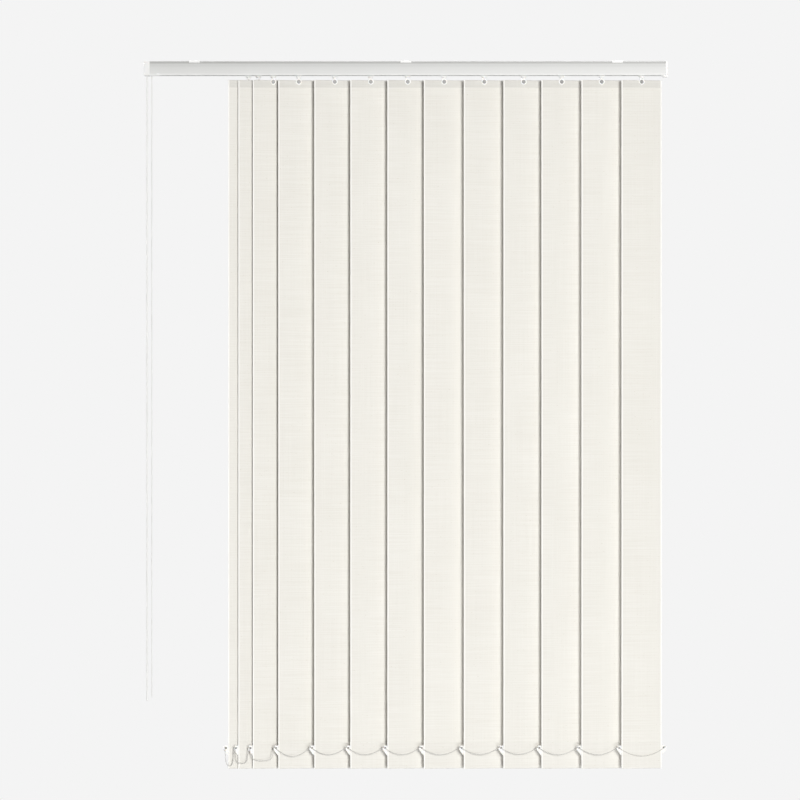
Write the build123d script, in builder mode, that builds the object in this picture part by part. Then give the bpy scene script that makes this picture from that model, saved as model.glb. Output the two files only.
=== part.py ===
from build123d import *
from math import cos, pi, radians, sin, tan
import os

# Vertical blind for an 89 mm vane, partly drawn open towards its right-hand end.
# Origin: the middle bracket's hole, on the face that meets the lintel.
# +X runs along the headrail to the right, -Y faces the room, +Z is up.

# Headrail extrusion
rail_length = 1098.0
rail_offset = 4.0
rail_depth = 44.0
rail_height = 30.0
rail_wall = 1.2
rail_drop = 1.7
slot_width = 15.0
slot_lip = 2.0
screw_channel_width = 22.0
screw_channel_depth = 3.0
lip_height = 2.6
groove_height = 1.0
groove_depth = 0.8
edge_chamfer = 1.0

# Brackets
bracket_spacing = 450.0
bracket_width = 23.0
bracket_thickness = 1.5
bracket_hole = 5.0
bracket_clearance = 0.2
bracket_catch = 0.6

# End caps
control_cap_width = 12.0
idle_cap_width = 4.0
cap_overhang = 0.6
cap_wall = 1.4
spigot_length = 9.0
spigot_clearance = 0.3
guide_length = 11.0
catch_length = 22.0
catch_width = 9.0
catch_thickness = 1.0
tab_radius = 4.5
tab_thickness = 1.2
foot_length = 9.6
foot_height = 2.4

# Tilt rod and chain wheel
rod_height = 15.5
rod_radius = 3.5
rod_flute_radius = 2.8
rod_flutes = 6
bearing_clearance = 0.3
wheel_radius = 11.0
wheel_flange = 2.0
wheel_width = 7.4
wheel_teeth = 12
tooth_width = 1.6
chain_play = 0.35

# Operating chain and draw cord, hanging loops
chain_diameter = 3.5
chain_drop = 1362.0
chain_join_angle = 2.0
cord_diameter = 1.8
cord_drop = 1355.0
cord_half = 5.5
cord_inset = 4.0

# Carriers: gaps from each one to the next, left to right, and the last one's place
# from the rail's right end
carrier_gaps = [21.3, 30.9, 54.3, 76.7, 76.7, 78.8, 77.7, 85.2, 84.1, 80.9, 85.2, 85.2]
last_carrier_inset = 51.0
carrier_length = 14.0
carrier_clearance = 0.5
rod_clearance = 0.7
gear_wall = 1.6
crown = 2.4
shoe_height = 4.0
tower_half = 9.0
shoulder_half = 17.0
shoulder_rise = 12.0
cord_channel_radius = 2.2
cord_channel_rise = 9.5
cord_channel_half = 13.6
collar_width = 12.8
collar_thickness = 1.7
collar_tip = 7.2
collar_drop = 3.6

# Vane hooks
stem_diameter = 4.5
stem_clearance = 0.3
stem_head = 9.0
stem_head_height = 6.0
hook_gap = 0.6
bridge_width = 6.0
bridge_height = 2.4
finger_thickness = 1.1
finger_clearance = 0.1
ring_diameter = 12.4
ring_hole = 5.2
peg_diameter = 3.2
peg_reach = 0.6

# Vanes
vane_angle = 14.0
vane_width = 89.0
vane_length = 1466.0
vane_top = 41.5
fabric = 0.4
top_pocket = 16.5
bottom_pocket = 58.0
pocket_play = 0.1
hanger_thickness = 1.1
hanger_width = 80.0
hanger_height = 13.0
hanger_hole = 6.0
hole_drop = 3.25

# Bottom weights
weight_thickness = 1.4
weight_width = 86.0
weight_height = 49.0
tab_reach = 10.4
tab_height = 21.5
tab_hole = 2.6
tab_plate = 2.2
notch_reach = 8.6
notch_width = 1.1
notch_depth = 5.0

# Bottom chain: sags of its lengths, left to right, the last one across the last vane
link_diameter = 2.0
link_spacing = 2.6
chain_stand_off = 0.7
chain_sags = [34.6, 30.2, 25.0, 18.6, 15.0, 15.0, 15.0, 15.0, 14.3, 14.3, 15.0, 15.0, 19.0]

os.makedirs("parts", exist_ok=True)

rail_left = rail_offset - rail_length / 2
rail_right = rail_offset + rail_length / 2
rail_half = rail_depth / 2
rail_top = -rail_drop
rail_bottom = rail_top - rail_height
ledge = rail_bottom + rail_wall
slot_half = slot_width / 2
rod_z = rail_top - rod_height
wheel_outer = wheel_radius + wheel_flange
slot_front = hanger_thickness / 2 + pocket_play
vane_front = slot_front + fabric
weight_centre = slot_front - pocket_play - weight_thickness / 2
bottom_back = weight_centre - weight_thickness / 2 - pocket_play - fabric
vane_top_z = -vane_top
vane_bottom_z = vane_top_z - vane_length
hook_z = vane_top_z - hole_drop
collar_top = rail_bottom - carrier_clearance
collar_bottom = collar_top - collar_thickness - collar_drop
tilt = radians(vane_angle)
weight_foot = vane_bottom_z + fabric + pocket_play
tab_top = weight_foot + weight_height
head_top = rod_z - rod_radius - rod_clearance - gear_wall
head_bottom = head_top - stem_head_height
carrier_top = rod_z + rod_radius + rod_clearance + crown

carrier_x = [rail_right - last_carrier_inset]
for gap in reversed(carrier_gaps):
    carrier_x.insert(0, carrier_x[0] - gap)


def save(piece, name):
    piece.part.label = name
    export_step(piece.part, f"parts/{name}.step")


def across(x):
    """Section plane across the rail at x: local x is Y, local y is Z."""
    return Plane.YZ.offset(x)


def vane_plane(x, forward=0.0):
    """Plane of a vane hung at x: local x runs along its width, z to the room."""
    normal = Vector(sin(tilt), -cos(tilt), 0)
    return Plane(Vector(x, 0, 0) + normal * forward, (cos(tilt), sin(tilt), 0), normal)


def cord_radii(points):
    """Arc radius at each inner point: 0.45 of the shorter run over tan of half the turn."""
    radii = []
    for before, corner, after in zip(points, points[1:], points[2:]):
        one = Vector(*corner) - Vector(*before)
        two = Vector(*after) - Vector(*corner)
        half_turn = radians(one.get_angle(two)) / 2
        radii.append(0.45 * min(one.length, two.length) / tan(half_turn))
    return radii


# Headrail: one extrusion, closed on top, with a slot and two ledges below
with BuildPart() as headrail:
    with BuildSketch(across(rail_left)):
        with BuildLine():
            lip = rail_top - lip_height
            groove = lip - groove_height
            channel = screw_channel_width / 2
            side = [
                (0, rail_top - screw_channel_depth),
                (channel, rail_top - screw_channel_depth),
                (channel, rail_top),
                (rail_half - edge_chamfer / 2, rail_top),
                (rail_half, rail_top - edge_chamfer / 2),
                (rail_half, lip),
                (rail_half - groove_depth, lip),
                (rail_half - groove_depth, groove),
                (rail_half, groove),
                (rail_half, rail_bottom + edge_chamfer),
                (rail_half - edge_chamfer, rail_bottom),
                (slot_half, rail_bottom),
                (slot_half, ledge + slot_lip),
                (slot_half + rail_wall, ledge + slot_lip),
                (slot_half + rail_wall, ledge),
                (rail_half - rail_wall, ledge),
                (rail_half - rail_wall, groove - rail_wall),
                (rail_half - groove_depth - rail_wall, groove - rail_wall),
                (rail_half - groove_depth - rail_wall, rail_top - rail_wall),
                (channel + rail_wall, rail_top - rail_wall),
                (channel + rail_wall, rail_top - screw_channel_depth - rail_wall),
                (0, rail_top - screw_channel_depth - rail_wall),
            ]
            Polyline(side)
            mirror(about=Plane.YZ)
        make_face()
    extrude(amount=rail_length)
save(headrail, "headrail")

# Mounting brackets: a plate over the rail with a lip that snaps into its groove
with BuildPart() as mounting_brackets:
    outside = rail_half + bracket_clearance
    plate_under = -bracket_thickness
    lip_foot = rail_top - lip_height - groove_height + bracket_clearance
    catch_top = rail_top - lip_height - bracket_clearance
    for place in (-bracket_spacing, 0, bracket_spacing):
        with BuildSketch(across(place - bracket_width / 2)):
            with BuildLine():
                Polyline(
                    (0, 0),
                    (outside + bracket_thickness - 0.5, 0),
                    (outside + bracket_thickness, -0.5),
                    (outside + bracket_thickness, lip_foot),
                    (outside - bracket_catch, lip_foot),
                    (outside - bracket_catch, catch_top),
                    (outside, catch_top),
                    (outside, plate_under),
                    (0, plate_under),
                )
                mirror(about=Plane.YZ)
            make_face()
        extrude(amount=bracket_width)
        with BuildSketch(Plane((place, 0, 0))):
            Circle(bracket_hole / 2)
        extrude(amount=-bracket_thickness, mode=Mode.SUBTRACT)
save(mounting_brackets, "mounting_brackets")


def spigot_side(clearance):
    """Half outline of a plug that fills the rail above its slot."""
    inner = rail_half - groove_depth - rail_wall - clearance
    top = rail_top - screw_channel_depth - rail_wall - clearance
    return [
        (0, ledge + slot_lip + clearance),
        (slot_half + rail_wall + clearance, ledge + slot_lip + clearance),
        (slot_half + rail_wall + clearance, ledge + clearance),
        (inner, ledge + clearance),
        (inner, top),
        (0, top),
    ]


cap_half = rail_half + cap_overhang
cap_top = rail_top - 0.4
cap_bottom = rail_bottom - cap_overhang


def cap_outline():
    """Outline of an end cap, a little proud of the rail, with eased corners."""
    with Locations((0, (cap_top + cap_bottom) / 2)):
        RectangleRounded(2 * cap_half, cap_top - cap_bottom, 1.2)


# Control end cap: houses the chain wheel, with a spigot, cord guide and catch tab
with BuildPart() as control_end_cap:
    cap_left = rail_left - control_cap_width
    cavity_left = cap_left + cap_wall
    cavity_width = control_cap_width - 2 * cap_wall
    chain_x = cavity_left + cavity_width / 2
    with BuildSketch(across(cap_left)):
        cap_outline()
    extrude(amount=control_cap_width)
    fillet(control_end_cap.faces().sort_by(Axis.X)[0].edges(), 0.9)
    with BuildSketch(across(rail_left)):
        with BuildLine():
            Polyline(spigot_side(spigot_clearance))
            mirror(about=Plane.YZ)
        make_face()
    extrude(amount=spigot_length)
    with BuildSketch(across(cavity_left)):
        with Locations((0, rod_z)):
            Circle(wheel_outer + 0.5)
    extrude(amount=cavity_width, mode=Mode.SUBTRACT)
    with BuildSketch(across(cavity_left)):
        with Locations((0, rod_z)):
            Circle(rod_radius + bearing_clearance)
    extrude(amount=cap_wall + cavity_width + spigot_length, mode=Mode.SUBTRACT)
    with BuildSketch(Plane((chain_x, 0, cap_bottom))):
        with Locations((0, wheel_radius), (0, -wheel_radius)):
            Circle(chain_diameter / 2 + 0.8)
    extrude(amount=rod_z - cap_bottom, mode=Mode.SUBTRACT)
    with BuildSketch(Plane.XY.offset(cap_bottom)):
        with Locations((rail_left + guide_length / 2, 0)):
            Rectangle(guide_length, slot_width - 1)
    extrude(amount=ledge + slot_lip + spigot_clearance - cap_bottom)
    catch_y = rail_half - catch_width / 2
    catch_top_z = rail_bottom - 0.1
    with BuildSketch(Plane.XY.offset(catch_top_z)):
        with Locations((rail_left + catch_length / 2, -catch_y)):
            Rectangle(catch_length, catch_width)
    extrude(amount=-catch_thickness)
    with BuildSketch(Plane.XZ.offset(rail_half + 0.1)):
        with Locations((rail_left + catch_length - tab_radius, catch_top_z)):
            Circle(tab_radius)
            Rectangle(2 * tab_radius, 2 * tab_radius, align=(Align.CENTER, Align.MAX), mode=Mode.SUBTRACT)
            with Locations((0, -catch_thickness / 2)):
                Rectangle(2 * tab_radius, catch_thickness)
    extrude(amount=tab_thickness)
    with BuildSketch(Plane.XY.offset(catch_top_z)):
        with Locations((rail_left + catch_length - tab_radius, -rail_half)):
            Rectangle(2 * tab_radius, tab_thickness)
    extrude(amount=-catch_thickness)
save(control_end_cap, "control_end_cap")

# Idle end cap: a thin plate with the rod's bearing spigot and a small foot below
with BuildPart() as idle_end_cap:
    with BuildSketch(across(rail_right)):
        cap_outline()
    extrude(amount=idle_cap_width)
    fillet(idle_end_cap.faces().sort_by(Axis.X)[-1].edges(), 0.9)
    with BuildSketch(across(rail_right)):
        with BuildLine():
            Polyline(spigot_side(spigot_clearance))
            mirror(about=Plane.YZ)
        make_face()
    extrude(amount=-spigot_length)
    with BuildSketch(across(rail_right - spigot_length)):
        with Locations((0, rod_z)):
            Circle(rod_radius + bearing_clearance)
    extrude(amount=spigot_length + idle_cap_width - cap_wall, mode=Mode.SUBTRACT)
    with BuildSketch(Plane.XY.offset(cap_bottom)):
        with Locations((rail_right + idle_cap_width, 0)):
            RectangleRounded(2 * foot_length, 2 * cap_half - 4, 1.0)
        with Locations((rail_right + idle_cap_width, 0)):
            Rectangle(2 * foot_length, 2 * cap_half, align=(Align.MIN, Align.CENTER), mode=Mode.SUBTRACT)
    extrude(amount=-foot_height)
    with BuildSketch(Plane.XY.offset(cap_bottom)):
        with Locations((rail_right, 0)):
            Rectangle(foot_length, 2 * cap_half - 4, align=(Align.MAX, Align.CENTER))
    extrude(amount=cap_overhang - 0.1)
save(idle_end_cap, "idle_end_cap")

# Tilt rod: a fluted bar, turning in both end caps
rod_left = cavity_left + 0.6
rod_right = rail_right + idle_cap_width - cap_wall - 0.6
with BuildPart() as tilt_rod:
    with BuildSketch(across(rod_left)):
        with BuildLine():
            step = pi / rod_flutes
            flutes = []
            for i in range(2 * rod_flutes):
                r = rod_radius if i % 2 == 0 else rod_flute_radius
                flutes.append((r * cos(i * step), rod_z + r * sin(i * step)))
            Polyline(flutes, close=True)
        make_face()
    extrude(amount=rod_right - rod_left)
save(tilt_rod, "tilt_rod")

# Chain wheel: two flanges and a groove, with ribs that catch between the beads
groove_floor = wheel_radius - chain_diameter / 2 - chain_play
groove_half = chain_diameter / 2 + chain_play
with BuildPart() as chain_wheel:
    with BuildSketch(Plane.XY.offset(rod_z)):
        with BuildLine():
            Polyline(
                (chain_x - wheel_width / 2, rod_radius + 0.05),
                (chain_x - wheel_width / 2, wheel_outer),
                (chain_x - groove_half, wheel_outer),
                (chain_x - groove_half, groove_floor),
                (chain_x + groove_half, groove_floor),
                (chain_x + groove_half, wheel_outer),
                (chain_x + wheel_width / 2, wheel_outer),
                (chain_x + wheel_width / 2, rod_radius + 0.05),
                close=True,
            )
        make_face()
    revolve(axis=Axis((0, 0, rod_z), (1, 0, 0)))
    for side_x in (chain_x - wheel_width / 2, chain_x + groove_half):
        with BuildSketch(across(side_x)):
            with Locations((0, rod_z)):
                with PolarLocations(wheel_outer, wheel_teeth):
                    Circle(tooth_width)
        extrude(amount=wheel_width / 2 - groove_half, mode=Mode.SUBTRACT)
save(chain_wheel, "chain_wheel")


def hanging_loop(x, half, top, drop):
    """Route of a loop in the plane across x: down one side, round its foot, up the other."""
    foot = -drop
    return [(-half, top), (-half, foot), (half, foot), (half, top)]


# Operating chain: over the wheel and down both sides of it, as a plain round tube
with BuildPart() as operating_chain:
    chain_route = hanging_loop(chain_x, wheel_radius, rod_z, chain_drop)
    chain_radii = cord_radii(chain_route)
    over_wheel = 90 - chain_join_angle
    with BuildLine(across(chain_x)) as chain_path:
        CenterArc((0, rod_z), wheel_radius, 90 + chain_join_angle, over_wheel)
        FilletPolyline(*chain_route, radius=chain_radii)
        CenterArc((0, rod_z), wheel_radius, 0, over_wheel)
    with BuildSketch(Plane(chain_path.line @ 0, z_dir=chain_path.line % 0)):
        Circle(chain_diameter / 2)
    sweep(path=chain_path.line)
print("operating chain radii", [round(r, 1) for r in chain_radii])
save(operating_chain, "operating_chain")

# Draw cord: a loop that hangs from the guide under the rail's left end
with BuildPart() as draw_cord:
    cord_route = hanging_loop(rail_left + cord_inset, cord_half, cap_bottom, cord_drop)
    draw_radii = cord_radii(cord_route)
    with BuildLine(across(rail_left + cord_inset)) as cord_path:
        FilletPolyline(*cord_route, radius=draw_radii)
    with BuildSketch(Plane(cord_path.line @ 0, z_dir=cord_path.line % 0)):
        Circle(cord_diameter / 2)
    sweep(path=cord_path.line)
print("draw cord radii", [round(r, 1) for r in draw_radii])
save(draw_cord, "draw_cord")

# Carriers: moulded bodies that slide on the ledges, with a bore for the rod,
# open channels for the cord, a collar below the rail and a socket for the hook
shoe_in = slot_half + rail_wall + carrier_clearance
shoe_out = rail_half - rail_wall - carrier_clearance
shoe_bottom = ledge + carrier_clearance
shoe_top = shoe_bottom + shoe_height
neck_half = slot_half - carrier_clearance
over_lip = ledge + slot_lip + carrier_clearance
shoulder_top = shoe_bottom + shoulder_rise
channel_z = ledge + cord_channel_rise
for number, x in enumerate(carrier_x, 1):
    with BuildPart() as carrier:
        with BuildSketch(across(x)):
            with BuildLine():
                Polyline(
                    (0, collar_top),
                    (neck_half, collar_top),
                    (neck_half, over_lip),
                    (shoe_in, over_lip),
                    (shoe_in, shoe_bottom),
                    (shoe_out, shoe_bottom),
                    (shoe_out, shoe_top),
                    (shoulder_half, shoe_top + 1.6),
                    (shoulder_half, shoulder_top),
                    (tower_half + 2, shoulder_top),
                    (tower_half, carrier_top - 1.5),
                    (tower_half - 1.5, carrier_top),
                    (0, carrier_top),
                )
                mirror(about=Plane.YZ)
            make_face()
            with Locations((0, rod_z)):
                Circle(rod_radius + rod_clearance, mode=Mode.SUBTRACT)
            with Locations((cord_channel_half, channel_z), (-cord_channel_half, channel_z)):
                Circle(cord_channel_radius, mode=Mode.SUBTRACT)
                Rectangle(
                    1.4 * cord_channel_radius,
                    shoulder_rise,
                    align=(Align.CENTER, Align.MIN),
                    mode=Mode.SUBTRACT,
                )
        extrude(amount=carrier_length / 2, both=True)
        with BuildSketch(Plane.XY.offset(collar_top)):
            with Locations((x, 0)):
                Rectangle(collar_width, 2 * neck_half)
        extrude(amount=-collar_thickness)
        with Locations((x, 0, collar_bottom)):
            Cone(
                collar_tip / 2,
                collar_width / 2,
                collar_drop,
                align=(Align.CENTER, Align.CENTER, Align.MIN),
            )
        with BuildSketch(Plane.XY.offset(collar_bottom)):
            with Locations((x, 0)):
                Circle(stem_diameter / 2 + stem_clearance)
        extrude(amount=head_bottom - collar_bottom, mode=Mode.SUBTRACT)
        with BuildSketch(Plane.XY.offset(head_bottom - stem_clearance)):
            with Locations((x, 0)):
                Circle(stem_head / 2 + stem_clearance)
        extrude(amount=stem_head_height + 2 * stem_clearance, mode=Mode.SUBTRACT)
    save(carrier, f"carrier_{number:02d}")

# Vane fittings: the hook that hangs in the carrier, the hanger inside the vane's
# top pocket and the weight inside its bottom pocket, with a chain tab at each end
bridge_top = collar_bottom - hook_gap
bridge_bottom = bridge_top - bridge_height
finger_in = vane_front + finger_clearance
finger_out = finger_in + finger_thickness
vane_half = vane_width / 2
tab_in = vane_half + 0.3
tab_out = vane_half + tab_reach
for number, x in enumerate(carrier_x, 1):
    with BuildPart() as vane_fittings:
        with BuildSketch(Plane.XY.offset(bridge_top)):
            with Locations((x, 0)):
                Circle(stem_diameter / 2)
        extrude(amount=head_top - bridge_top)
        with BuildSketch(Plane.XY.offset(head_bottom)):
            with Locations((x, 0)):
                Circle(stem_head / 2)
        extrude(amount=stem_head_height)
        with BuildSketch(vane_plane(x)):
            with Locations((0, bridge_top)):
                Rectangle(bridge_width, bridge_height, align=(Align.CENTER, Align.MAX))
        extrude(amount=finger_out, both=True)
        with BuildSketch(vane_plane(x, finger_in)):
            with Locations((0, bridge_bottom)):
                Rectangle(bridge_width - 1, bridge_bottom - hook_z, align=(Align.CENTER, Align.MAX))
            with Locations((0, hook_z)):
                Circle(ring_diameter / 2)
                Circle(ring_hole / 2, mode=Mode.SUBTRACT)
        extrude(amount=finger_thickness)
        with BuildSketch(vane_plane(x, -finger_in)):
            with Locations((0, bridge_bottom)):
                Rectangle(bridge_width - 1, bridge_bottom - hook_z, align=(Align.CENTER, Align.MAX))
            with Locations((0, hook_z)):
                Circle(ring_diameter / 2)
        extrude(amount=-finger_thickness)
        with BuildSketch(vane_plane(x, -finger_in)):
            with Locations((0, hook_z)):
                Circle(peg_diameter / 2)
        extrude(amount=finger_in + peg_reach)
        with BuildSketch(vane_plane(x, -hanger_thickness / 2)):
            with Locations((0, vane_top_z - fabric - pocket_play - hanger_height / 2)):
                RectangleRounded(hanger_width, hanger_height, 2.0)
            with Locations((0, hook_z)):
                Circle(hanger_hole / 2, mode=Mode.SUBTRACT)
        extrude(amount=hanger_thickness)
        with BuildSketch(vane_plane(x, weight_centre)):
            with Locations((0, weight_foot + weight_height / 2)):
                RectangleRounded(weight_width, weight_height, 1.5)
            with Locations((0, tab_top - tab_height / 2)):
                Rectangle(2 * tab_in + 1, tab_height / 2)
        extrude(amount=weight_thickness / 2, both=True)
        with BuildSketch(vane_plane(x, weight_centre)):
            with BuildLine():
                Polyline(
                    (tab_in, tab_top),
                    (tab_in, tab_top - tab_height),
                    (tab_out, tab_top - tab_height + 1.25 * tab_reach),
                    (tab_out, tab_top - 2.5),
                    (tab_out - 2, tab_top),
                    close=True,
                )
            make_face()
            with Locations((tab_in + 4.4, tab_top - 5.2)):
                Circle(tab_hole / 2, mode=Mode.SUBTRACT)
            with Locations((vane_half + notch_reach, tab_top)):
                Rectangle(
                    notch_width,
                    notch_depth,
                    align=(Align.CENTER, Align.MAX),
                    mode=Mode.SUBTRACT,
                )
            mirror(about=Plane.YZ)
        extrude(amount=tab_plate / 2, both=True)
    save(vane_fittings, f"vane_fittings_{number:02d}")

# Vanes: one strip of cloth each, folded back and welded into a pocket at both ends
for number, x in enumerate(carrier_x, 1):
    face = vane_plane(x)
    with BuildPart() as vane:
        edge = face.origin - face.x_dir * vane_half
        with BuildSketch(Plane(edge, -face.z_dir, face.x_dir)):
            with Locations((-vane_front, vane_bottom_z)):
                Rectangle(fabric, vane_length, align=(Align.MIN, Align.MIN))
                Rectangle(
                    vane_front - bottom_back, bottom_pocket, align=(Align.MIN, Align.MIN)
                )
            with Locations((-vane_front, vane_top_z)):
                Rectangle(2 * vane_front, top_pocket, align=(Align.MIN, Align.MAX))
            with Locations((-slot_front, vane_top_z - fabric)):
                Rectangle(
                    2 * slot_front,
                    top_pocket - 2 * fabric,
                    align=(Align.MIN, Align.MAX),
                    mode=Mode.SUBTRACT,
                )
            with Locations((-slot_front, vane_bottom_z + fabric)):
                Rectangle(
                    slot_front - bottom_back - fabric,
                    bottom_pocket - 2 * fabric,
                    align=(Align.MIN, Align.MIN),
                    mode=Mode.SUBTRACT,
                )
        extrude(amount=vane_width)
        with BuildSketch(vane_plane(x, slot_front)):
            with Locations((0, hook_z)):
                Circle(hanger_hole / 2)
        extrude(amount=-2 * slot_front - 2 * fabric, mode=Mode.SUBTRACT)
    save(vane, f"vane_{number:02d}")


# Bottom chain: a length between the notches of each two vanes' tabs, in front of
# the vanes, and one across the last vane; a short length hangs as a deep loop
chain_front = vane_front + link_diameter / 2 + chain_stand_off
chain_z = tab_top - notch_depth + link_diameter / 2
for number, x in enumerate(carrier_x, 1):
    plane = vane_plane(x, chain_front)
    start = plane.origin - plane.x_dir * (vane_half + notch_reach) + Vector(0, 0, chain_z)
    if number < len(carrier_x):
        along = Vector(1, 0, 0)
        chord = carrier_x[number] - x - link_spacing
    else:
        along = plane.x_dir
        chord = vane_width + 2 * notch_reach - link_spacing
    sag = chain_sags[number - 1]
    hanging = Plane(start + along * link_spacing / 2, along, along.cross(Vector(0, 0, 1)))
    with BuildPart() as bottom_chain:
        with BuildLine(hanging) as span:
            leg = sag - chord / 2
            if leg > 0:
                Line((0, 0), (0, -leg))
                ThreePointArc((0, -leg), (chord / 2, -sag), (chord, -leg))
                Line((chord, -leg), (chord, 0))
            else:
                ThreePointArc((0, 0), (chord / 2, -sag), (chord, 0))
        with BuildSketch(Plane(span.line @ 0, z_dir=span.line % 0)):
            Circle(link_diameter / 2)
        sweep(path=span.line)
    save(bottom_chain, f"bottom_chain_{number:02d}")
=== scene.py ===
import bpy
from math import cos, pi, radians, sin
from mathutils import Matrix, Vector


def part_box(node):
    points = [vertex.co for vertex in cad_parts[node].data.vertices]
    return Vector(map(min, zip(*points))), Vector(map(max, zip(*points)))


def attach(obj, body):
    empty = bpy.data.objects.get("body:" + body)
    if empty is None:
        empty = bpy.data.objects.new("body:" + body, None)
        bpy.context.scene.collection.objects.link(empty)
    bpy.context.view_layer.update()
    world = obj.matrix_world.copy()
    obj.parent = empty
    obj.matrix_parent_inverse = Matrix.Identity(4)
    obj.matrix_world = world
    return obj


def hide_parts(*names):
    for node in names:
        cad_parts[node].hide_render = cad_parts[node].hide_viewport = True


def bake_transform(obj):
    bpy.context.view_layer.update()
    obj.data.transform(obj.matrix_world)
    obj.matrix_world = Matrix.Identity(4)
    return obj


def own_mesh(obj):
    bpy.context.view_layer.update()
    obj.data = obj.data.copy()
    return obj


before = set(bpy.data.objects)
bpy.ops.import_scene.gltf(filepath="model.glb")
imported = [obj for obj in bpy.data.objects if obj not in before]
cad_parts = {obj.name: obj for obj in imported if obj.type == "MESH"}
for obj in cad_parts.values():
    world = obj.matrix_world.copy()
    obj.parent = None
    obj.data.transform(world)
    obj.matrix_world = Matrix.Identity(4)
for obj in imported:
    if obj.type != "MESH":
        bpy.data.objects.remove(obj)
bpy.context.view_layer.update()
print("frame loaded:", len(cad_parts), "nodes")

# Sizes are written in millimetres, and this turns them into metres.
mm = 0.001

# What the pieces of the blind share. Angles are in degrees.
blind = {
    "vaneCount": 13,
    "vaneAngle": 14.0,  # turned from closed, left edge towards the room
    "vaneWidth": 89.0,
    "vaneTop": -41.5,
    "vaneBottom": -1507.5,
    "hookHeight": -44.75,
}


def numbered(name, number):
    return f"{name}_{number:02d}"


# Where a vane hangs along the rail: the middle of its carrier.
def hangPlace(number):
    low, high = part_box(numbered("carrier", number))
    return (low[0] + high[0]) / 2 / mm


hangPlaces = [hangPlace(number) for number in range(1, blind["vaneCount"] + 1)]


# A point from the vane hung at place: along its width, out towards the room, and its height.
def onVane(place, along, forward, height):
    turn = radians(blind["vaneAngle"])
    x = place + along * cos(turn) + forward * sin(turn)
    y = along * sin(turn) - forward * cos(turn)
    return Vector((x, y, height)) * mm


# Puts new mesh or curve data into the scene as an object at the origin.
def showing(data, name):
    thing = bpy.data.objects.new(name, data)
    bpy.context.scene.collection.objects.link(thing)
    return thing


# The mesh that an object has once its modifiers are applied.
def meshOf(thing, name):
    seen = bpy.context.evaluated_depsgraph_get()
    mesh = bpy.data.meshes.new_from_object(thing.evaluated_get(seen), depsgraph=seen)
    mesh.name = name
    return mesh


# Turns an object with its modifiers into one plain mesh object.
def madePlain(thing, name):
    mesh = meshOf(thing, name)
    bpy.data.objects.remove(thing)
    return showing(mesh, name)


# The room: camera, lamps, floor

camera = {
    "aimAcross": -12.4,
    "aimHeight": -722.6,
    "distance": 14000.0,
    "heightSeen": 1704.0,
    "sensor": 36.0,
    "nearest": 100.0,
    "farthest": 200000.0,
}

room = {
    "wallColour": (0.905, 0.905, 0.905, 1.0),
    "skyColour": (0.98, 0.985, 1.0, 1.0),
    "skyStrength": 0.09,
    "floorDrop": 3700.0,
    "floorRadius": 5500.0,
    "floorFadesFrom": 1500.0,
    "floorFadedAt": 5400.0,
    "floorColour": (0.80, 0.80, 0.795, 1.0),
    "floorPaleness": 0.75,
}

# name: place, width and height in metres, watts, colour
lamps = {
    "keySoftbox": ((4.0, -14.0, 1.2), 4.0, 3.4, 1400.0, (1.0, 0.99, 0.97)),
    "fillSoftbox": ((2.0, -7.0, -3.5), 2.4, 1.3, 150.0, (0.98, 0.99, 1.0)),
    "topSoftbox": ((0.3, 0.4, 4.0), 3.0, 1.6, 110.0, (1.0, 1.0, 1.0)),
    "backSoftbox": ((-8.0, 9.5, 1.8), 4.0, 3.0, 1150.0, (1.0, 1.0, 1.0)),
}


def makeCamera():
    lens = bpy.data.cameras.new("photoCamera")
    lens.sensor_width = camera["sensor"]
    lens.lens = camera["sensor"] * camera["distance"] / camera["heightSeen"]
    lens.clip_start, lens.clip_end = camera["nearest"] * mm, camera["farthest"] * mm
    eye = showing(lens, "photoCamera")
    eye.location = Vector((camera["aimAcross"], -camera["distance"], camera["aimHeight"])) * mm
    eye.rotation_euler = (pi / 2, 0, 0)
    bpy.context.scene.camera = eye


def makeLamp(name, place, width, height, watts, colour):
    light = bpy.data.lights.new(name, "AREA")
    light.shape = "RECTANGLE"
    light.size, light.size_y = width, height
    light.energy = watts
    light.color = colour
    lamp = showing(light, name)
    lamp.location = place
    lamp.visible_camera = False
    aim = Vector((0, 0, camera["aimHeight"] * mm)) - Vector(place)
    lamp.rotation_euler = aim.to_track_quat("-Z", "Y").to_euler()


# Mixes a lit shader with a plain colour for rays from the camera, glass and gloss.
def plainSeenBehind(tree, lit, plain):
    path = tree.nodes.new("ShaderNodeLightPath")
    orGloss = tree.nodes.new("ShaderNodeMath")
    orGlass = tree.nodes.new("ShaderNodeMath")
    mix = tree.nodes.new("ShaderNodeMixShader")
    orGloss.operation = orGlass.operation = "MAXIMUM"
    tree.links.new(path.outputs["Is Camera Ray"], orGloss.inputs[0])
    tree.links.new(path.outputs["Is Glossy Ray"], orGloss.inputs[1])
    tree.links.new(orGloss.outputs[0], orGlass.inputs[0])
    tree.links.new(path.outputs["Is Transmission Ray"], orGlass.inputs[1])
    tree.links.new(orGlass.outputs[0], mix.inputs[0])
    tree.links.new(lit.outputs[0], mix.inputs[1])
    tree.links.new(plain.outputs[0], mix.inputs[2])
    return mix


def makeWorld():
    world = bpy.data.worlds.new("paleRoom")
    world.use_nodes = True
    tree = world.node_tree
    sky = tree.nodes["Background"]
    sky.inputs["Color"].default_value = room["skyColour"]
    sky.inputs["Strength"].default_value = room["skyStrength"]
    wall = tree.nodes.new("ShaderNodeBackground")
    wall.inputs["Color"].default_value = room["wallColour"]
    mix = plainSeenBehind(tree, sky, wall)
    tree.links.new(mix.outputs[0], tree.nodes["World Output"].inputs["Surface"])
    bpy.context.scene.world = world


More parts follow.
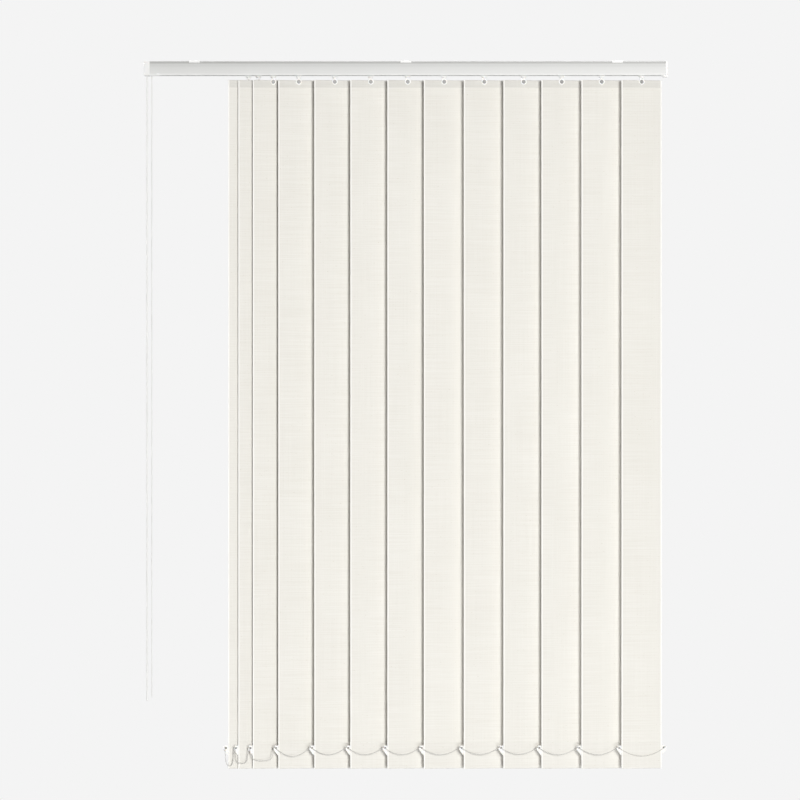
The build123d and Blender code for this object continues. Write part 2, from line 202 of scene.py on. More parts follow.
# The floor is lit as it is, and the camera sees it paler, fading into the wall at its rim.
def makeFloor():
    bpy.ops.mesh.primitive_circle_add(
        vertices=96,
        radius=room["floorRadius"] * mm,
        fill_type="NGON",
        location=(0, 0, -room["floorDrop"] * mm),
    )
    floor = bpy.context.object
    floor.name = "paleFloor"
    paint = bpy.data.materials.new("paleFloor")
    paint.use_nodes = True
    tree = paint.node_tree
    lit = tree.nodes["Principled BSDF"]
    lit.inputs["Base Color"].default_value = room["floorColour"]
    lit.inputs["Roughness"].default_value = 0.9
    pale, wall = (tree.nodes.new("ShaderNodeEmission") for _ in range(2))
    pale.inputs["Color"].default_value = room["floorColour"]
    wall.inputs["Color"].default_value = room["wallColour"]
    paler, faded = (tree.nodes.new("ShaderNodeMixShader") for _ in range(2))
    paler.inputs[0].default_value = room["floorPaleness"]
    tree.links.new(lit.outputs[0], paler.inputs[1])
    tree.links.new(pale.outputs[0], paler.inputs[2])
    where = tree.nodes.new("ShaderNodeTexCoord")
    fromMiddle = tree.nodes.new("ShaderNodeVectorMath")
    fromMiddle.operation = "LENGTH"
    rim = tree.nodes.new("ShaderNodeMapRange")
    rim.interpolation_type = "SMOOTHSTEP"
    rim.inputs["From Min"].default_value = room["floorFadesFrom"] * mm
    rim.inputs["From Max"].default_value = room["floorFadedAt"] * mm
    tree.links.new(where.outputs["Object"], fromMiddle.inputs[0])
    tree.links.new(fromMiddle.outputs["Value"], rim.inputs["Value"])
    tree.links.new(rim.outputs["Result"], faded.inputs[0])
    tree.links.new(paler.outputs[0], faded.inputs[1])
    tree.links.new(wall.outputs[0], faded.inputs[2])
    mix = plainSeenBehind(tree, lit, faded)
    tree.links.new(mix.outputs[0], tree.nodes["Material Output"].inputs["Surface"])
    floor.data.materials.append(paint)


bpy.context.scene.view_settings.view_transform = "Standard"
makeCamera()
for name, (place, width, height, watts, colour) in lamps.items():
    makeLamp(name, place, width, height, watts, colour)
makeWorld()
makeFloor()
print("camera, lamps and floor made")


# Finishes

# A material and the few steps that its node tree is built from. Noise and band scales are
# per metre of the coordinates that they get.
class Finish:
    def __init__(self, name, colour, roughness, **sockets):
        self.material = bpy.data.materials.new(name)
        self.material.use_nodes = True
        self.tree = self.material.node_tree
        self.shader = self.tree.nodes["Principled BSDF"]
        self.set("Base Color", (*colour, 1.0))
        self.set("Roughness", roughness)
        for socket, value in sockets.items():
            self.set(socket.replace("_", " "), value)

    def set(self, socket, value):
        self.shader.inputs[socket].default_value = value

    def node(self, kind, **settings):
        made = self.tree.nodes.new(kind)
        for name, value in settings.items():
            setattr(made, name, value)
        return made

    def join(self, output, socket):
        self.tree.links.new(output, socket)

    def place(self, source="Object", scale=(1, 1, 1)):
        where = self.node("ShaderNodeTexCoord")
        mapping = self.node("ShaderNodeMapping")
        mapping.inputs["Scale"].default_value = scale
        self.join(where.outputs[source], mapping.inputs["Vector"])
        return mapping.outputs["Vector"]

    def noise(self, vector, scale, detail=2.0, roughness=0.5):
        noise = self.node("ShaderNodeTexNoise")
        noise.inputs["Scale"].default_value = scale
        noise.inputs["Detail"].default_value = detail
        noise.inputs["Roughness"].default_value = roughness
        self.join(vector, noise.inputs["Vector"])
        return noise.outputs["Fac"]

    def bands(self, vector, scale, direction, distortion=0.0):
        wave = self.node("ShaderNodeTexWave", bands_direction=direction)
        wave.inputs["Scale"].default_value = scale
        wave.inputs["Distortion"].default_value = distortion
        self.join(vector, wave.inputs["Vector"])
        return wave.outputs["Fac"]

    def math(self, operation, *values):
        step = self.node("ShaderNodeMath", operation=operation)
        for socket, value in zip(step.inputs, values):
            if isinstance(value, (int, float)):
                socket.default_value = value
            else:
                self.join(value, socket)
        return step.outputs[0]

    def ramp(self, value, low, high, lowColour, highColour):
        ramp = self.node("ShaderNodeValToRGB")
        ends = ramp.color_ramp.elements
        ends[0].position, ends[1].position = low, high
        ends[0].color, ends[1].color = (*lowColour, 1.0), (*highColour, 1.0)
        self.join(value, ramp.inputs["Fac"])
        return ramp.outputs["Color"]

    # From low to high as the value goes from start to end
    def range(self, value, low, high, start=0.0, end=1.0):
        change = self.node("ShaderNodeMapRange")
        ends = {"From Min": start, "From Max": end, "To Min": low, "To Max": high}
        for socket, number in ends.items():
            change.inputs[socket].default_value = number
        self.join(value, change.inputs["Value"])
        return change.outputs["Result"]

    def attribute(self, name):
        return self.node("ShaderNodeAttribute", attribute_name=name).outputs["Fac"]

    def mixed(self, first, second, blend="MULTIPLY"):
        mix = self.node("ShaderNodeMix", data_type="RGBA", blend_type=blend)
        mix.inputs["Factor"].default_value = 1.0
        self.join(first, mix.inputs["A"])
        self.join(second, mix.inputs["B"])
        return mix.outputs["Result"]

    def colour(self, output):
        self.join(output, self.shader.inputs["Base Color"])

    def gloss(self, output):
        self.join(output, self.shader.inputs["Roughness"])

    def bump(self, height, strength, distance):
        bump = self.node("ShaderNodeBump")
        bump.inputs["Strength"].default_value = strength
        bump.inputs["Distance"].default_value = distance
        self.join(height, bump.inputs["Height"])
        self.join(bump.outputs["Normal"], self.shader.inputs["Normal"])


# Heights on the rail's face, below the brackets' top
railFace = {
    # groove and line: the middles of two bands painted darker as shade
    "groove": 5.3,
    "line": 11.6,
    "top": 6.0,
    "bottom": 29.0,
    # the band of the painted highlight along the face's foot
    "highlightTop": 28.1,
    "highlightBottom": 28.9,
}

white, black = (1.0, 1.0, 1.0), (0.0, 0.0, 0.0)


# White powder coat: a faint orange peel, uneven gloss, painted shade in the groove along its face
# and on a fainter line below it, painted shade that greys the face towards its top, and a painted
# highlight on its foot.
def paintedRail():
    finish = Finish("railPaint", (0.81, 0.815, 0.805), 0.36)
    peel = finish.noise(finish.place(), 900, 2)
    cloud = finish.noise(finish.place(), 14, 3)
    coat = finish.ramp(cloud, 0.3, 0.7, (0.785, 0.79, 0.78), (0.81, 0.815, 0.805))
    apart = finish.node("ShaderNodeSeparateXYZ")
    finish.join(finish.place(), apart.inputs[0])
    height = apart.outputs["Z"]
    # painted shade: the groove and a fainter line below it are painted darker
    fromGroove = finish.math("ABSOLUTE", finish.math("ADD", height, railFace["groove"] * mm))
    paintedShade = finish.ramp(fromGroove, 1.1 * mm, 2.0 * mm, (0.70, 0.70, 0.69), white)
    fromLine = finish.math("ABSOLUTE", finish.math("ADD", height, railFace["line"] * mm))
    line = finish.ramp(fromLine, 0.8 * mm, 1.8 * mm, (0.93, 0.93, 0.93), white)
    # painted shade: the face greys from its foot up to its top
    upFace = finish.range(height, 0.0, 1.0, -railFace["bottom"] * mm, -railFace["top"] * mm)
    paintedFaceShade = finish.ramp(upFace, 0.0, 1.0, (0.86, 0.86, 0.86), (0.73, 0.73, 0.73))
    # painted highlight: below this band the face keeps its full colour, paler than the painted
    # shade above
    upHighlight = finish.range(
        height, 0.0, 1.0, -railFace["highlightBottom"] * mm, -railFace["highlightTop"] * mm
    )
    foot = finish.ramp(upHighlight, 0.0, 1.0, white, black)
    toned = finish.mixed(coat, finish.mixed(paintedFaceShade, foot, blend="LIGHTEN"))
    finish.colour(finish.mixed(toned, finish.mixed(paintedShade, line)))
    finish.gloss(finish.range(cloud, 0.30, 0.44))
    finish.bump(peel, 0.12, 0.0002)
    return finish.material


def bracketPaint():
    finish = Finish("bracketPaint", (0.90, 0.90, 0.89), 0.32)
    cloud = finish.noise(finish.place(), 60, 3)
    finish.gloss(finish.range(cloud, 0.26, 0.42))
    finish.bump(finish.noise(finish.place(), 1400, 2), 0.08, 0.0002)
    return finish.material


# White moulded plastic: light enters its skin a little, the mould left a fine grain,
# and its recesses are painted dark as shade.
def mouldedPlastic(name, colour, roughness, inner):
    finish = Finish(name, colour, roughness, Subsurface_Weight=inner, Subsurface_Scale=0.0015)
    finish.set("Subsurface Radius", (1.0, 0.8, 0.6))
    grain = finish.noise(finish.place(), 2600, 2)
    cloud = finish.noise(finish.place(), 90, 3)
    darker = tuple(0.965 * part for part in colour)
    # painted shade: near black where a piece marks its recess
    paintedShade = finish.ramp(finish.attribute("paintedRecessShade"), 0.0, 1.0, white, (0.10, 0.10, 0.10))
    finish.colour(finish.mixed(finish.ramp(cloud, 0.3, 0.7, darker, colour), paintedShade))
    finish.gloss(finish.range(cloud, roughness - 0.05, roughness + 0.08))
    finish.bump(grain, 0.06, 0.0001)
    return finish.material


# Plain extruded aluminium, with the die's fine lines along it.
def rodMetal():
    finish = Finish("rodMetal", (0.74, 0.75, 0.76), 0.34, Metallic=1.0)
    lines = finish.noise(finish.place(scale=(4, 1600, 1600)), 1, 3)
    finish.gloss(finish.range(lines, 0.24, 0.44))
    finish.bump(lines, 0.15, 0.0001)
    return finish.material


# Off-white slub cloth: a plain weave, thicker yarns, tiny flecks, a painted highlight along its
# cut edges, and painted shade over its pockets, most over the top pocket under the rail.
def vaneCloth():
    finish = Finish(
        "vaneCloth", (0.862, 0.850, 0.808), 0.82, Sheen_Weight=0.12, Sheen_Roughness=0.5
    )
    cloth = finish.place("UV")
    weft = finish.noise(finish.place("UV", (9, 620, 1)), 1, 4, 0.62)
    warp = finish.noise(finish.place("UV", (480, 5, 1)), 1, 3, 0.6)
    fleck = finish.noise(finish.place("UV", (210, 520, 1)), 1, 1)
    cloud = finish.noise(cloth, 7, 3)
    yarn = finish.ramp(weft, 0.30, 0.72, (0.797, 0.778, 0.726), (0.862, 0.850, 0.808))
    upright = finish.ramp(warp, 0.30, 0.70, (0.968, 0.966, 0.962), white)
    specks = finish.ramp(fleck, 0.715, 0.76, white, (0.84, 0.82, 0.77))
    patches = finish.ramp(cloud, 0.3, 0.7, (0.978, 0.976, 0.972), white)
    # painted shade: the pockets darker, by the share each vertex carries
    pocket = finish.ramp(finish.attribute("paintedPocketShade"), 0.0, 1.0, white, (0.865, 0.865, 0.87))
    body = finish.mixed(finish.mixed(yarn, upright), finish.mixed(specks, patches))
    body = finish.mixed(body, pocket)
    # painted highlight: the cloth paler within 1.9 mm of its edges, fading out by 2.9 mm
    edgeHighlight = finish.node("ShaderNodeMix", data_type="RGBA")
    toEdge = finish.range(finish.attribute("fromEdge"), 1.0, 0.0, 1.9 * mm, 2.9 * mm)
    finish.join(toEdge, edgeHighlight.inputs["Factor"])
    finish.join(body, edgeHighlight.inputs["A"])
    edgeHighlight.inputs["B"].default_value = (0.98, 0.97, 0.94, 1.0)
    finish.colour(edgeHighlight.outputs["Result"])
    across = finish.bands(cloth, 520, "X", 0.6)
    down = finish.bands(cloth, 520, "Y", 0.6)
    weave = finish.math("MULTIPLY", across, down)
    height = finish.math("ADD", finish.math("MULTIPLY", weave, 0.5), weft)
    finish.bump(height, 0.35, 0.00022)
    return finish.material


def beadPlastic(name, colour):
    finish = Finish(name, colour, 0.24, Coat_Weight=0.25, Coat_Roughness=0.15)
    cloud = finish.noise(finish.place(), 420, 2)
    finish.colour(finish.ramp(cloud, 0.3, 0.7, tuple(0.95 * part for part in colour), colour))
    finish.gloss(finish.range(cloud, 0.2, 0.34))
    return finish.material


# White braid: two sets of strands that cross on their way round the cord.
def braidedCord():
    finish = Finish("braidedCord", (0.88, 0.88, 0.865), 0.62, Sheen_Weight=0.15)
    repeat, strandPairs = 4 * mm, 4
    length = finish.math("MULTIPLY", finish.attribute("alongCord"), 2 * pi / repeat)
    turn = finish.math("MULTIPLY", finish.attribute("aroundCord"), 2 * pi * strandPairs)
    oneWay = finish.math("SINE", finish.math("ADD", length, turn))
    otherWay = finish.math("SINE", finish.math("SUBTRACT", length, turn))
    strands = finish.range(finish.math("MAXIMUM", oneWay, otherWay), 0.0, 1.0, -1.0, 1.0)
    # painted shade: darker in the gaps between the strands
    finish.colour(finish.ramp(strands, 0.1, 0.8, (0.74, 0.74, 0.72), (0.90, 0.90, 0.885)))
    finish.bump(strands, 0.5, 0.0002)
    return finish.material


finishes = {
    "railPaint": paintedRail(),
    "bracketPaint": bracketPaint(),
    "capPlastic": mouldedPlastic("capPlastic", (0.885, 0.885, 0.88), 0.22, 0.08),
    "wheelPlastic": mouldedPlastic("wheelPlastic", (0.88, 0.88, 0.86), 0.40, 0.1),
    "carrierPlastic": mouldedPlastic("carrierPlastic", (0.90, 0.90, 0.885), 0.34, 0.15),
    "fittingPlastic": mouldedPlastic("fittingPlastic", (0.89, 0.885, 0.865), 0.30, 0.2),
    "rodMetal": rodMetal(),
    "vaneCloth": vaneCloth(),
    "beadPlastic": beadPlastic("beadPlastic", (0.92, 0.92, 0.905)),
    "fineBeadPlastic": beadPlastic("fineBeadPlastic", (0.62, 0.61, 0.58)),
    "braidedCord": braidedCord(),
}

nodeFinishes = {
    "headrail": "railPaint",
    "mounting_brackets": "bracketPaint",
    "control_end_cap": "capPlastic",
    "idle_end_cap": "capPlastic",
    "tilt_rod": "rodMetal",
    "chain_wheel": "wheelPlastic",
    "carrier": "carrierPlastic",
    "vane_fittings": "fittingPlastic",
}

for name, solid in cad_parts.items():
    family = name.rstrip("0123456789").rstrip("_")
    if family in nodeFinishes:
        solid.data.materials.clear()
        solid.data.materials.append(finishes[nodeFinishes[family]])
print("finishes made")


# Geometry Nodes: beads on a thread, and a braided cord

# An empty geometry tree with a geometry socket, the named numbers and a material.
def newTree(name, numbers):
    tree = bpy.data.node_groups.new(name, "GeometryNodeTree")
    tree.interface.new_socket("Geometry", in_out="INPUT", socket_type="NodeSocketGeometry")
    for number in numbers:
        tree.interface.new_socket(number, in_out="INPUT", socket_type="NodeSocketFloat")
    tree.interface.new_socket("Material", in_out="INPUT", socket_type="NodeSocketMaterial")
    tree.interface.new_socket("Geometry", in_out="OUTPUT", socket_type="NodeSocketGeometry")
    return tree, tree.nodes.new("NodeGroupInput"), tree.nodes.new("NodeGroupOutput")


# Adds a node, sets it up and joins or fills the inputs that are named.
def wired(tree, kind, inputs=None, **settings):
    node = tree.nodes.new(kind)
    for name, value in settings.items():
        setattr(node, name, value)
    for name, value in (inputs or {}).items():
        if isinstance(value, bpy.types.NodeSocket):
            tree.links.new(value, node.inputs[name])
        else:
            node.inputs[name].default_value = value
    return node


# A bead at every step along a line, and a thread through them.
def beadTree():
    tree, given, result = newTree("beadsOnThread", ["Bead Radius", "Bead Pitch", "Thread Radius"])
    line = given.outputs["Geometry"]
    beadPlaces = wired(
        tree, "GeometryNodeResampleCurve",
        {"Curve": line, "Length": given.outputs["Bead Pitch"]},
        mode="LENGTH",
    )
    bead = wired(
        tree, "GeometryNodeMeshUVSphere",
        {"Segments": 10, "Rings": 6, "Radius": given.outputs["Bead Radius"]},
    )
    beads = wired(
        tree, "GeometryNodeInstanceOnPoints",
        {"Points": beadPlaces.outputs[0], "Instance": bead.outputs["Mesh"]},
    )
    ring = wired(
        tree, "GeometryNodeCurvePrimitiveCircle",
        {"Resolution": 6, "Radius": given.outputs["Thread Radius"]},
    )
    thread = wired(
        tree, "GeometryNodeCurveToMesh",
        {"Curve": line, "Profile Curve": ring.outputs["Curve"], "Fill Caps": True},
    )
    both = wired(tree, "GeometryNodeJoinGeometry")
    tree.links.new(beads.outputs[0], both.inputs[0])
    tree.links.new(thread.outputs[0], both.inputs[0])
    plain = wired(tree, "GeometryNodeRealizeInstances", {"Geometry": both.outputs[0]})
    smooth = wired(tree, "GeometryNodeSetShadeSmooth", {0: plain.outputs[0]})
    dressed = wired(
        tree, "GeometryNodeSetMaterial",
        {"Geometry": smooth.outputs[0], "Material": given.outputs["Material"]},
    )
    tree.links.new(dressed.outputs[0], result.inputs[0])
    return tree


# A round cord that knows, for its braid, how far along and around it each point is.
def cordTree():
    tree, given, result = newTree("braidedCord", ["Cord Radius"])
    even = wired(
        tree, "GeometryNodeResampleCurve",
        {"Curve": given.outputs["Geometry"], "Length": 3 * mm},
        mode="LENGTH",
    )
    along = wired(tree, "GeometryNodeSplineParameter")
    marked = wired(
        tree, "GeometryNodeStoreNamedAttribute",
        {"Geometry": even.outputs[0], "Name": "alongCord", "Value": along.outputs["Length"]},
        data_type="FLOAT", domain="POINT",
    )
    ring = wired(
        tree, "GeometryNodeCurvePrimitiveCircle",
        {"Resolution": 10, "Radius": given.outputs["Cord Radius"]},
    )
    around = wired(tree, "GeometryNodeSplineParameter")
    markedRing = wired(
        tree, "GeometryNodeStoreNamedAttribute",
        {
            "Geometry": ring.outputs["Curve"],
            "Name": "aroundCord",
            "Value": around.outputs["Factor"],
        },
        data_type="FLOAT", domain="POINT",
    )
    cord = wired(
        tree, "GeometryNodeCurveToMesh",
        {"Curve": marked.outputs[0], "Profile Curve": markedRing.outputs[0], "Fill Caps": True},
    )
    smooth = wired(tree, "GeometryNodeSetShadeSmooth", {0: cord.outputs[0]})
    plain = wired(tree, "GeometryNodeRealizeInstances", {"Geometry": smooth.outputs[0]})
    dressed = wired(
        tree, "GeometryNodeSetMaterial",
        {"Geometry": plain.outputs[0], "Material": given.outputs["Material"]},
    )
    tree.links.new(dressed.outputs[0], result.inputs[0])
    return tree


# Runs a geometry tree on an object and gives back the plain mesh that it makes.
def shapedBy(tree, thing, name, **values):
    modifier = thing.modifiers.new(tree.name, "NODES")
    modifier.node_group = tree
    inputs = [item for item in tree.interface.items_tree if item.in_out == "INPUT"]
    sockets = {item.name: item.identifier for item in inputs}
    for label, value in values.items():
        modifier[sockets[label.replace("_", " ")]] = value
    return madePlain(thing, name)


# A smooth open line through the air, drawn towards its points as a hanging thing curves.
def drawnLine(name, points, steps):
    curve = bpy.data.curves.new(name, "CURVE")
    curve.dimensions = "3D"
    curve.resolution_u = steps
    spline = curve.splines.new("NURBS")
    spline.points.add(len(points) - 1)
    for point, place in zip(spline.points, points):
        point.co = (*place, 1.0)
    spline.order_u = 3
    spline.use_endpoint_u = True
    return showing(curve, name)


# The points of a drawn line, as the finished curve has them.
def linePoints(line):
    mesh = meshOf(line, line.name)
    points = [tuple(vertex.co) for vertex in mesh.vertices]
    bpy.data.meshes.remove(mesh)
    return points


beadsOnThread = beadTree()
cordBraid = cordTree()


# Operating chain and draw cord: two loops that hang at the left end

operatingChain = {
    "across": -551.0,
    "half": 11.0,  # half the distance from the front side of the loop to its rear side
    "top": -17.2,
    "foot": -1362.0,
    "lastTurn": -1340.5,
    "beadRadius": 1.75,
    "beadPitch": 4.6,
    "threadRadius": 0.55,
    "length": 2702.0,
}

drawCord = {
    "across": -541.0,
    "half": 5.5,
    "top": -32.3,
    "foot": -1355.0,
    "lastTurn": -1344.0,
    "radius": 0.9,
    "length": 2652.0,
}

lineSteps = 60  # along each of a loop's stretches


# Down one side of the loop, round its foot and up the other side.
def loopRoute(loop):
    x, half = loop["across"], loop["half"]
    heights = (loop["top"], loop["lastTurn"], loop["foot"])
    down = [Vector((x, -half, height)) * mm for height in heights]
    up = [Vector((x, half, height)) * mm for height in reversed(heights)]
    return down + up


def makeOperatingChain():
    route = loopRoute(operatingChain)
    line = drawnLine("operatingChain", route, lineSteps)
    path = linePoints(line)
    chain = shapedBy(
        beadsOnThread, line, "operatingChainBeads",
        Bead_Radius=operatingChain["beadRadius"] * mm,
        Bead_Pitch=operatingChain["beadPitch"] * mm,
        Thread_Radius=operatingChain["threadRadius"] * mm,
        Material=finishes["beadPlastic"],
    )
    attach(chain, "root")
    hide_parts("operating_chain")


def makeDrawCord():
    route = loopRoute(drawCord)
    line = drawnLine("drawCord", route, lineSteps)
    path = linePoints(line)
    cord = shapedBy(
        cordBraid, line, "drawCordBraid",
        Cord_Radius=drawCord["radius"] * mm,
        Material=finishes["braidedCord"],
    )
    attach(cord, "root")
    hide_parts("draw_cord")


makeOperatingChain()
makeDrawCord()
print("operating chain and draw cord made")


# Vanes: one strip of cloth each, folded back and welded into a pocket at both ends

vane = {
    "clothThickness": 0.34,
    "faceForward": 0.85,  # middle of the cloth, out from the hook's line
    "topBack": -0.85,
    "bottomBack": -1.15,
    "topPocket": 16.5,
    "bottomPocket": 58.0,
    "weldInset": 1.2,  # from the end of the pocket's cloth to the middle of its weld
    "weldDepth": 0.30,
    "weldHeight": 1.6,
    "weightSwell": 0.22,
    "rows": 34,
    "columns": 22,
    "cup": 0.35,
    "ripple": 0.28,
    "rippleLength": 170.0,
    # shares of painted shade over the top and the bottom pocket
    "topShade": 1.0,
    "bottomShade": 0.1,
    "clothShift": (0.31, 0.17),  # metres, so that no two vanes show the same bit of cloth
    "holeRadius": 3.0,
    "holeReach": 4.0,
    "holeSides": 28,
}

topWeld = blind["vaneTop"] - vane["topPocket"] + vane["weldInset"]
bottomWeld = blind["vaneBottom"] + vane["bottomPocket"] - vane["weldInset"]


# How far a vane differs from the others in one respect, -0.5 to 0.5, the same in every run.
def difference(respect, number):
    return sin(12.9898 * number + 4.1 * respect) * 43758.5453 % 1.0 - 0.5


# The cloth's middle line seen from its edge, from the back of the top pocket over its fold,
# down the face and round the weight to the back of the bottom pocket. Each point has how far
# forward and how high it is, and the length of cloth so far.
def vaneOutline():
    top, bottom = blind["vaneTop"], blind["vaneBottom"]
    face, sink = vane["faceForward"], vane["faceForward"] - vane["weldDepth"]
    thick = vane["clothThickness"]
    weld = vane["weldHeight"]
    swell = face + vane["weightSwell"]
    points = [
        (face - 1.15 * thick, topWeld - 2.2),
        (sink - 1.1 * thick, topWeld),
        (face - 1.6 * thick, topWeld + weld),
        (vane["topBack"], topWeld + 3.4),
        (vane["topBack"], top - 4),
        (vane["topBack"], top - 1.3),
        (vane["topBack"] * 0.72, top - 0.45),
        (0.0, top - 0.2),
        (face * 0.72, top - 0.45),
        (face, top - 1.3),
        (face, top - 4),
        (face, topWeld + weld),
        (face - 0.06, topWeld + weld * 0.6),
        (sink, topWeld),
        (face - 0.06, topWeld - weld * 0.6),
        (face, topWeld - weld),
    ]
    rows = vane["rows"]
    low = bottomWeld + weld
    high = topWeld - weld
    points += [(face, high + (low - high) * row / rows) for row in range(1, rows)]
    points += [
        (face, bottomWeld + weld),
        (face - 0.06, bottomWeld + weld * 0.6),
        (sink, bottomWeld),
        (face - 0.06, bottomWeld - weld * 0.6),
        (face, bottomWeld - weld),
        (face + 0.02, bottomWeld - 5.6),
        (swell, bottomWeld - 8.4),
        (swell, bottomWeld - 30),
        (swell, bottom + 6),
        (face, bottom + 1.3),
        (face * 0.66, bottom + 0.5),
        (-0.15, bottom + 0.2),
        (vane["bottomBack"] * 0.75, bottom + 0.5),
        (vane["bottomBack"], bottom + 1.3),
        (vane["bottomBack"] - 0.1, bottom + 20),
        (vane["bottomBack"], bottomWeld - 9),
        (face - 1.6 * thick, bottomWeld - weld),
        (sink - 1.1 * thick, bottomWeld),
        (face - 1.15 * thick, bottomWeld + 2.2),
    ]
    measured, travelled = [], 0.0
    for index, point in enumerate(points):
        if index:
            before = points[index - 1]
            travelled += ((point[0] - before[0]) ** 2 + (point[1] - before[1]) ** 2) ** 0.5
        measured.append((*point, travelled))
    return measured


clothOutline = vaneOutline()


# A short round bar through the top pocket, which cuts the hook's hole.
def hookHole(place, name):
    sides, radius, reach = vane["holeSides"], vane["holeRadius"], vane["holeReach"]
    vertices, faces = [], []
    for forward in (reach, -reach):
        for side in range(sides):
            turn = 2 * pi * side / sides
            height = blind["hookHeight"] + radius * sin(turn)
            vertices.append(onVane(place, radius * cos(turn), forward, height))
    for side in range(sides):
        after = (side + 1) % sides
        faces.append((side, side + sides, after + sides, after))
    faces.append(tuple(range(sides)))
    faces.append(tuple(reversed(range(sides, 2 * sides))))
    mesh = bpy.data.meshes.new(name)
    mesh.from_pydata([tuple(vertex) for vertex in vertices], [], faces)
    return showing(mesh, name)


def makeVane(number):
    place = hangPlaces[number - 1]
    columns, width = vane["columns"], blind["vaneWidth"]
    middle = (blind["vaneTop"] + blind["vaneBottom"]) / 2
    reach = (blind["vaneTop"] - blind["vaneBottom"]) / 2
    shiftAcross, shiftDown = vane["clothShift"]
    cup = vane["cup"] * (1 + difference(1, number))
    phase = 2 * pi * difference(2, number)
    vertices, spots, fromEdge, paintedPocketShade = [], [], [], []
    for forward, height, travelled in clothOutline:
        # painted shade: rows of the top pocket fully, of the bottom pocket a little
        shade = 0.0
        if height >= topWeld:
            shade = vane["topShade"]
        elif height <= bottomWeld:
            shade = vane["bottomShade"]
        free = max(0.0, 1 - ((height - middle) / reach) ** 2)  # 0 at the ends, 1 halfway down
        for column in range(columns + 1):
            share = 2 * column / columns - 1
            share = share * (1.08 - 0.08 * share * share)  # closer together at the edges
            along = share * width / 2
            bow = cup * (share * share - 0.4) * free
            wave = sin(height / vane["rippleLength"] + phase + 1.3 * share)
            bow += vane["ripple"] * wave * free
            vertices.append(tuple(onVane(place, along, forward + bow, height)))
            spots.append(
                (
                    (along + width / 2) * mm + shiftAcross * number,
                    travelled * mm + shiftDown * number,
                )
            )
            fromEdge.append((width / 2 - abs(along)) * mm)
            paintedPocketShade.append(shade)
    faces = []
    for row in range(len(clothOutline) - 1):
        for column in range(columns):
            first = row * (columns + 1) + column
            faces.append((first, first + columns + 1, first + columns + 2, first + 1))
    name = numbered("vaneCloth", number)
    mesh = bpy.data.meshes.new(name)
    mesh.from_pydata(vertices, [], faces)
    layer = mesh.uv_layers.new(name="clothMap")
    for loop in mesh.loops:
        layer.data[loop.index].uv = spots[loop.vertex_index]
    for attribute, values in (("fromEdge", fromEdge), ("paintedPocketShade", paintedPocketShade)):
        noted = mesh.attributes.new(attribute, "FLOAT", "POINT")
        noted.data.foreach_set("value", values)
    mesh.materials.append(finishes["vaneCloth"])
    cloth = showing(mesh, name)
    thick = cloth.modifiers.new("thickness", "SOLIDIFY")
    thick.thickness = vane["clothThickness"] * mm
    thick.offset = 0
    hole = hookHole(place, numbered("hookHole", number))
    cut = cloth.modifiers.new("hole", "BOOLEAN")
    cut.operation = "DIFFERENCE"
    cut.solver = "EXACT"
    cut.object = hole
    cloth = madePlain(cloth, name)
    bpy.data.objects.remove(hole)
    for face in cloth.data.polygons:
        face.use_smooth = True
    cloth.data.set_sharp_from_angle(angle=radians(50))
    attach(cloth, numbered("vane_body", number))
    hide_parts(numbered("vane", number))


for number in range(1, blind["vaneCount"] + 1):
    makeVane(number)


# Hook eyes and tab eyelets: the raised rims round the hook's hole and the tabs' small holes, with
# painted shade in their recesses

# rings: radius, forward and share of painted shade, from the back rim round to the recess in
# front
hookEye = {
    "rings": [
        (6.3, 1.5, 0),
        (6.5, 1.7, 0),
        (6.5, 2.4, 0),
        (6.2, 2.68, 0),
        (5.2, 2.74, 0),
        (4.4, 2.62, 0),
        (4.0, 2.42, 0.8),
        (3.4, 2.34, 0.8),
    ],
    "sides": 32,
}

tabEyelet = {
    "rings": [
        (2.6, 0.6, 0),
        (2.7, 1.0, 0),
        (2.5, 1.14, 0),
        (2.1, 1.12, 0),
        (1.9, 1.0, 1),
        (1.5, 0.97, 1),
    ],
    "sides": 16,
    "along": 49.2,
    "height": -1463.2,
}


# A round piece that stands out from a vane: its rings joined up, and closed at both ends.
def turnedOnVane(piece, name, number, along, height):
    place, sides = hangPlaces[number - 1], piece["sides"]
    vertices, deep, faces = [], [], []
    for radius, forward, paintedShade in piece["rings"]:
        for side in range(sides):
            turn = 2 * pi * side / sides
            spot = onVane(place, along + radius * cos(turn), forward, height + radius * sin(turn))
            vertices.append(tuple(spot))
            deep.append(float(paintedShade))
    for row in range(len(piece["rings"]) - 1):
        for side in range(sides):
            first, after = row * sides + side, row * sides + (side + 1) % sides
            faces.append((first, after, after + sides, first + sides))
    faces.append(tuple(reversed(range(sides))))
    faces.append(tuple(range(len(vertices) - sides, len(vertices))))
    mesh = bpy.data.meshes.new(name)
    mesh.from_pydata(vertices, [], faces)
    # painted shade: each ring's share darkens the recess in place of the shade in the hole
    recessed = mesh.attributes.new("paintedRecessShade", "FLOAT", "POINT")
    recessed.data.foreach_set("value", deep)
    mesh.materials.append(finishes["fittingPlastic"])
    mesh.polygons.foreach_set("use_smooth", [len(face) == 4 for face in faces])
    turned = showing(mesh, name)
    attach(turned, numbered("vane_body", number))


for number in range(1, blind["vaneCount"] + 1):
    turnedOnVane(hookEye, numbered("hookEye", number), number, 0.0, blind["hookHeight"])
    for name, side in (("leftEyelet", -1), ("rightEyelet", 1)):
        along = side * tabEyelet["along"]
        turnedOnVane(tabEyelet, numbered(name, number), number, along, tabEyelet["height"])
print("hook eyes and tab eyelets made")


# Bottom chain: fine beads from tab to tab, and on across the last vane

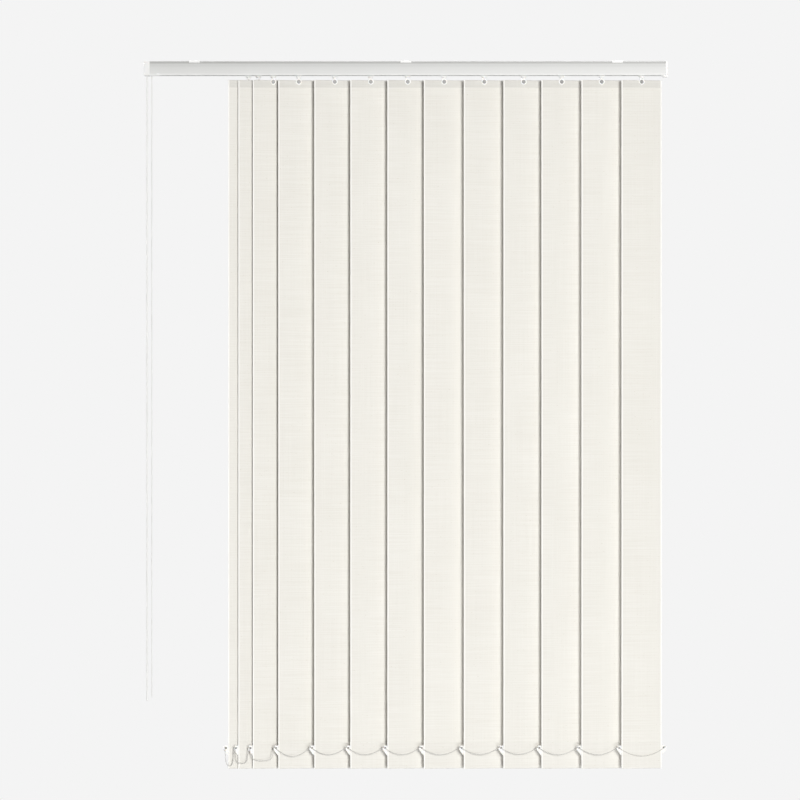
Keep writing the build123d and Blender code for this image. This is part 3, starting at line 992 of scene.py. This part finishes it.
bottomChain = {
    "beadRadius": 1.0,
    "beadPitch": 2.9,
    "threadRadius": 0.3,
    "reach": 53.1,  # from the vane's middle along to a tab's notch
    "forward": 2.75,
    "height": -1462.0,
    "spacing": 2.6,  # between the ends of two lengths at one notch
    "sags": [34.6, 30.2, 25.0, 18.6, 15.0, 15.0, 15.0, 15.0, 14.3, 14.3, 15.0, 15.0, 19.0],
    "deepFrom": 0.42,  # a sag of this share of the gap or more makes a narrow loop
    "lineSteps": 24,
    "stacked": 16.0,
    "widest": 85.2,
}

# The points that draw a narrow loop: share of the way across and share of the sag
narrowLoop = [(0.03, 0.62), (0.16, 1.12), (0.84, 1.12), (0.97, 0.62)]


# A chain hung between two points: a shallow one is a parabola, a deep one a narrow loop.
def hangingRoute(start, end, sag):
    across = end - start
    down = Vector((0, 0, -1))
    if sag < bottomChain["deepFrom"] * across.length:
        return [start, (start + end) / 2 + down * 2 * sag, end]
    loop = [start + across * share + down * depth * sag for share, depth in narrowLoop]
    return [start, *loop, end]


def makeBottomChain(number):
    last = number == blind["vaneCount"]
    place = hangPlaces[number - 1]
    reach, forward, height = (bottomChain[part] for part in ("reach", "forward", "height"))
    fromTab = onVane(place, -reach, forward, height)
    if last:
        toTab = onVane(place, reach, forward, height)
    else:
        toTab = onVane(hangPlaces[number], -reach, forward, height)
    along = (toTab - fromTab).normalized() * bottomChain["spacing"] / 2 * mm
    start, end = fromTab + along, toTab - along
    sag = bottomChain["sags"][number - 1] * mm
    line = drawnLine("bottomChain", hangingRoute(start, end, sag), bottomChain["lineSteps"])
    chain = shapedBy(
        beadsOnThread, line, numbered("bottomChainBeads", number),
        Bead_Radius=bottomChain["beadRadius"] * mm,
        Bead_Pitch=bottomChain["beadPitch"] * mm,
        Thread_Radius=bottomChain["threadRadius"] * mm,
        Material=finishes["fineBeadPlastic"],
    )
    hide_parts(numbered("bottom_chain", number))
    if last:
        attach(chain, numbered("vane_body", number))
    elif number == blind["vaneCount"] - 1:
        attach(chain, numbered("chain_body", number))
        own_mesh(chain)
    else:
        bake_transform(chain)


for number in range(1, blind["vaneCount"] + 1):
    makeBottomChain(number)
print("bottom chain made")
